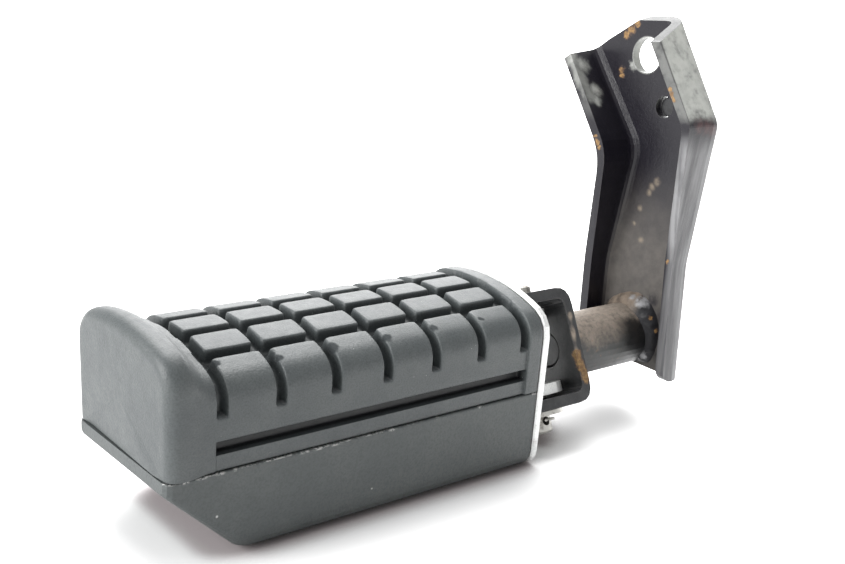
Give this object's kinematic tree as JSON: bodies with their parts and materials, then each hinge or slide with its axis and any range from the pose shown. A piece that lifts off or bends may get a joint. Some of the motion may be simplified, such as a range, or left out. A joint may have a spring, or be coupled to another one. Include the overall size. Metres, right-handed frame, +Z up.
{
  "type": "motorcycle passenger footpeg",
  "caption": "Folding passenger footpeg: a block-tread rubber pad on a pinned peg, hinged in a clevis on a stub bar that is welded to a pressed channel hanger.",
  "frame": {"origin": "on the back face of the hanger's web, midway between its two holes", "axes": "+X inboard, square to the web and along the peg; +Y across the peg, towards its stop side; +Z up, away from the peg's flat underside"},
  "size_m": [0.1751, 0.0522, 0.1205],
  "materials": {
    "black_paint": "worn black satin paint on steel, with rust",
    "rusty_paint": "thin worn paint on a steel bar, brown with rust",
    "weld_steel": "rough weld metal",
    "zinc_steel": "dull zinc-plated steel",
    "cast_aluminium": "bare casting, matt",
    "grey_black_paint": "grey-black textured paint, chipped at its upper edge",
    "black_rubber": "moulded black rubber, dulled to a grey sheen"
  },
  "bodies": {
    "hanger": {"hanger_channel": "black_paint", "stub_tube": "rusty_paint", "clevis": "black_paint", "weld_bead_hanger": "weld_steel", "weld_bead_clevis": "weld_steel", "hole_plug": "zinc_steel", "pivot_pin": "zinc_steel", "pivot_washer": "zinc_steel", "cotter_pin": "zinc_steel", "wave_washer": "zinc_steel"},
    "peg": {"peg_core": "cast_aluminium", "tread_pad": "black_rubber", "lower_shell": "grey_black_paint", "pad_insert": "zinc_steel", "clamp_screw_outer": "zinc_steel", "clamp_screw_inner": "zinc_steel", "screw_washer_outer": "zinc_steel", "screw_washer_inner": "zinc_steel"}
  },
  "joints": [
    {"name": "peg_fold", "type": "hinge", "parent": "hanger", "child": "peg", "pos_m": [-0.0491, -0.00215, -0.0781], "axis": [0, 0.454, 0.891], "range_deg": [0, 85]}
  ]
}
